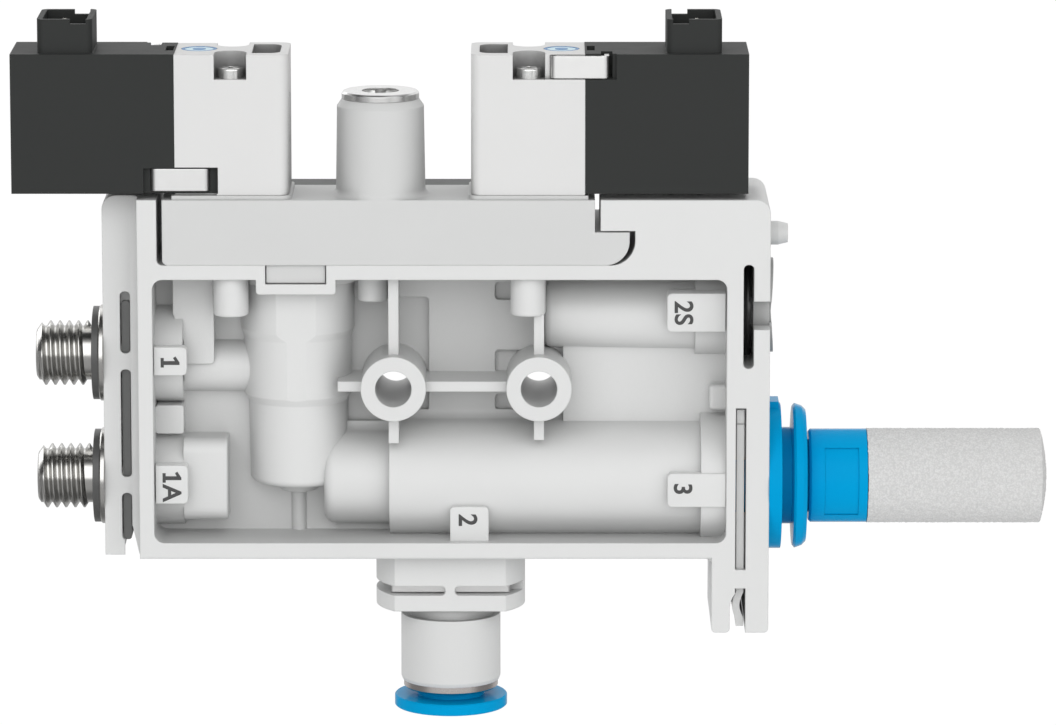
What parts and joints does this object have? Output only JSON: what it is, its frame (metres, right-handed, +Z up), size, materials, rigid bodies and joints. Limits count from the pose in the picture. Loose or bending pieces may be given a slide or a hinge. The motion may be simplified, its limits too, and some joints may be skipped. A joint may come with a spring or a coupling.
{
  "type": "vacuum ejector",
  "caption": "Compact vacuum ejector with solenoid valves on top, threaded air ports, a push-in vacuum port and a plug-in silencer.",
  "frame": {"origin": "midway between the two mounting holes, at the housing's mid-depth", "axes": "+X along the housing towards the silencer, +Y from the front face to the rear face, +Z up towards the solenoid valves"},
  "size_m": [0.1113, 0.0158, 0.0761],
  "materials": {
    "housing_plastic": "light grey moulded reinforced plastic",
    "carrier_plastic": "light grey moulded plastic",
    "white_plastic": "off-white moulded plastic",
    "clip_plastic": "light grey moulded plastic",
    "black_plastic": "dark grey plastic strip",
    "coil_plastic": "dark grey moulded plastic",
    "blue_plastic": "light blue plastic",
    "override_blue": "light blue plastic with a white ring",
    "porous_plastic": "sintered porous plastic",
    "steel": "plain steel",
    "bright_steel": "bright bent strip",
    "dark_steel": "dark spring strip",
    "nickel": "nickel-plated brass",
    "copper": "enamelled copper wire",
    "rubber": "black seal rubber"
  },
  "bodies": {
    "ejector": {"housing": "housing_plastic", "valve_carrier": "carrier_plastic", "rear_cover_strip": "black_plastic", "flow_collar": "steel", "port_1_fitting": "nickel", "port_1_washer": "rubber", "port_1_o_ring": "rubber", "port_1a_fitting": "nickel", "port_1a_washer": "rubber", "port_1a_o_ring": "rubber", "supply_clip": "dark_steel", "sensor_plug": "housing_plastic", "sensor_plug_o_ring": "rubber", "silencer_cartridge": "blue_plastic", "silencer_tube_seal": "rubber", "silencer_collet": "steel", "silencer_sleeve": "blue_plastic", "silencer_element": "porous_plastic", "silencer_clip": "clip_plastic", "vacuum_fitting_body": "white_plastic", "vacuum_fitting_o_ring": "rubber", "vacuum_tube_seal": "rubber", "vacuum_collet": "steel", "vacuum_fitting_ring": "nickel", "vacuum_clip": "steel", "jet_nozzle": "nickel", "receiver_nozzle": "carrier_plastic", "nozzle_o_rings": "rubber", "main_valve_spring": "steel", "left_coil_housing": "coil_plastic", "left_coil_winding": "copper", "left_armature_spring": "steel", "left_connector_pins": "nickel", "left_valve_body": "white_plastic", "left_valve_screws": "steel", "left_lower_staple": "bright_steel", "left_upper_staple": "bright_steel", "left_valve_gasket": "rubber", "right_coil_housing": "coil_plastic", "right_coil_winding": "copper", "right_armature_spring": "steel", "right_connector_pins": "nickel", "right_valve_body": "white_plastic", "right_valve_screws": "steel", "right_lower_staple": "bright_steel", "right_upper_staple": "bright_steel", "right_valve_gasket": "rubber"},
    "left_override": {"left_override_button": "override_blue"},
    "right_override": {"right_override_button": "override_blue"},
    "left_armature": {"left_armature": "steel"},
    "right_armature": {"right_armature": "steel"},
    "flow_screw_lead": {"flow_screw_seal": "rubber"},
    "flow_screw": {"flow_screw": "steel"},
    "vacuum_release": {"vacuum_release_ring": "blue_plastic"},
    "silencer_release": {"silencer_release_ring": "blue_plastic"},
    "main_valve": {"main_valve_piston": "carrier_plastic", "piston_seal": "rubber"},
    "check_valve": {"check_valve": "rubber"}
  },
  "joints": [
    {"name": "left_override_press", "type": "slide", "parent": "ejector", "child": "left_override", "axis": [0, 0, -1], "range_m": [0, 0.0008], "stiffness_N_per_m": 500, "springref_m": -0.0005},
    {"name": "right_override_press", "type": "slide", "parent": "ejector", "child": "right_override", "axis": [0, 0, -1], "range_m": [0, 0.0008], "stiffness_N_per_m": 500, "springref_m": -0.0005},
    {"name": "left_armature_slide", "type": "slide", "parent": "ejector", "child": "left_armature", "axis": [-1, 0, 0], "range_m": [0, 0.0004], "stiffness_N_per_m": 400, "springref_m": -0.001, "deforming": ["left_armature_spring"]},
    {"name": "right_armature_slide", "type": "slide", "parent": "ejector", "child": "right_armature", "axis": [1, 0, 0], "range_m": [0, 0.0004], "stiffness_N_per_m": 400, "springref_m": -0.001, "deforming": ["right_armature_spring"]},
    {"name": "flow_screw_travel", "type": "slide", "parent": "ejector", "child": "flow_screw_lead", "axis": [0, 0, 1], "range_m": [-0.0015, 0.00025]},
    {"name": "flow_screw_turn", "type": "hinge", "parent": "flow_screw_lead", "child": "flow_screw", "pos_m": [-0.00916, -0.0029, 0.02], "axis": [0, 0, 1], "range_deg": [-1090, 190]},
    {"name": "vacuum_release_press", "type": "slide", "parent": "ejector", "child": "vacuum_release", "axis": [0, 0, 1], "range_m": [0, 0.0007], "stiffness_N_per_m": 800, "springref_m": -0.0005},
    {"name": "silencer_release_press", "type": "slide", "parent": "ejector", "child": "silencer_release", "axis": [-1, 0, 0], "range_m": [0, 0.00085], "stiffness_N_per_m": 800, "springref_m": -0.0005},
    {"name": "main_valve_slide", "type": "slide", "parent": "ejector", "child": "main_valve", "axis": [0, 0, -1], "range_m": [0, 0.0016], "stiffness_N_per_m": 400, "springref_m": -0.002, "deforming": ["main_valve_spring"]},
    {"name": "check_valve_lift", "type": "slide", "parent": "ejector", "child": "check_valve", "axis": [0, 0, 1], "range_m": [0, 0.0008]}
  ],
  "couplings": [
    {"joint": "flow_screw_turn", "follows": "flow_screw_travel", "rad_per_m": 12566}
  ]
}
